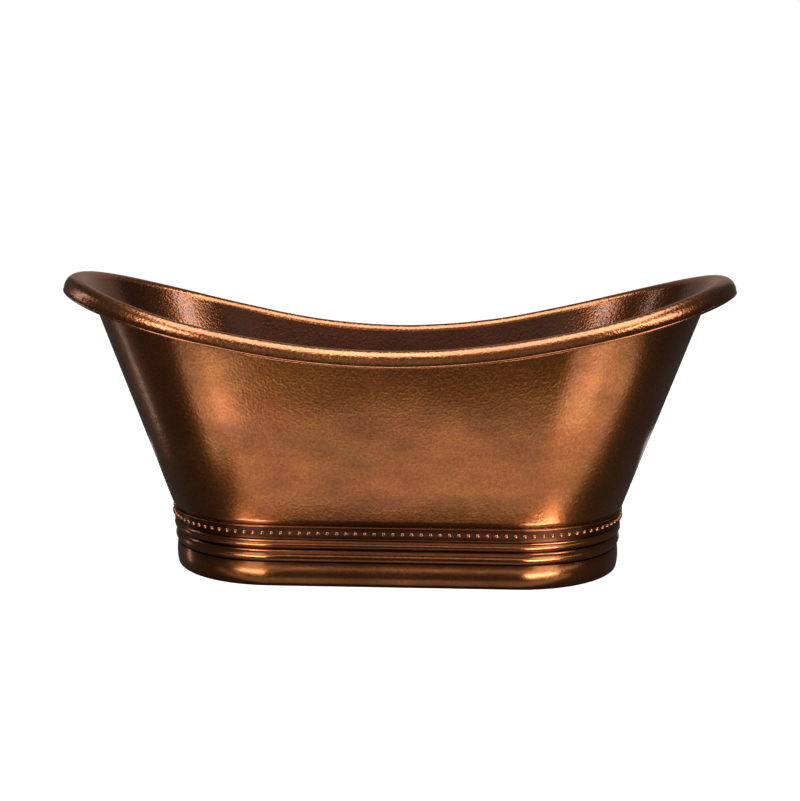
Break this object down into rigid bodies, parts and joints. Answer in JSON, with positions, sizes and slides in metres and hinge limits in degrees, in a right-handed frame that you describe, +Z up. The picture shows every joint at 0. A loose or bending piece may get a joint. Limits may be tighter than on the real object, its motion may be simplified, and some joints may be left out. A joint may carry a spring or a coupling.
{
  "type": "freestanding bathtub",
  "caption": "Freestanding double-slipper bathtub in hammered copper: tapered oval shell, rolled rim higher at both ends, beaded moulded plinth, click-clack waste with lifting plug.",
  "frame": {"origin": "middle of the footprint, on the floor", "axes": "+X along the bath, +Y across it towards its back side, +Z up"},
  "size_m": [1.7, 0.8114, 0.748],
  "materials": {
    "copper_tub": "hammered copper, antique brown patina",
    "copper_rim": "hammered copper, brighter and worn",
    "copper_plinth": "smooth copper mouldings, satin antique patina",
    "black_steel": "satin black paint",
    "zinc_steel": "zinc plated",
    "spring_steel": "drawn wire",
    "rubber": "matte",
    "white_plastic": "moulded",
    "aged_brass": "antique bronze"
  },
  "bodies": {
    "tub": {"wall_front": "copper_tub", "wall_back": "copper_tub", "wall_left": "copper_tub", "wall_right": "copper_tub", "floor_pan": "copper_tub", "rolled_rim": "copper_rim", "rim_wire": "copper_rim", "plinth_skirt": "copper_plinth", "plinth_foot": "copper_plinth", "lower_torus": "copper_plinth", "upper_torus": "copper_plinth", "bead_strip": "copper_plinth", "bead_row": "copper_plinth", "band_wire": "copper_plinth", "rail_front": "black_steel", "rail_back": "black_steel", "crossbars": "black_steel", "skirt_brackets": "black_steel", "bracket_screws": "zinc_steel", "floor_pads": "rubber", "pan_strips": "rubber", "flange_seal": "rubber", "lower_gasket": "rubber", "friction_washer": "white_plastic", "latch_sleeve": "white_plastic", "drain_flange": "aged_brass", "waste_locknut": "aged_brass", "tailpiece": "aged_brass", "click_cartridge": "aged_brass", "plug_spring": "spring_steel"},
    "plug": {"plug_cap": "aged_brass", "plug_seal": "rubber", "plug_stem": "aged_brass"}
  },
  "joints": [
    {"name": "plug_lift", "type": "slide", "parent": "tub", "child": "plug", "axis": [0, 0, 1], "range_m": [0, 0.009], "deforming": ["plug_spring"]}
  ]
}
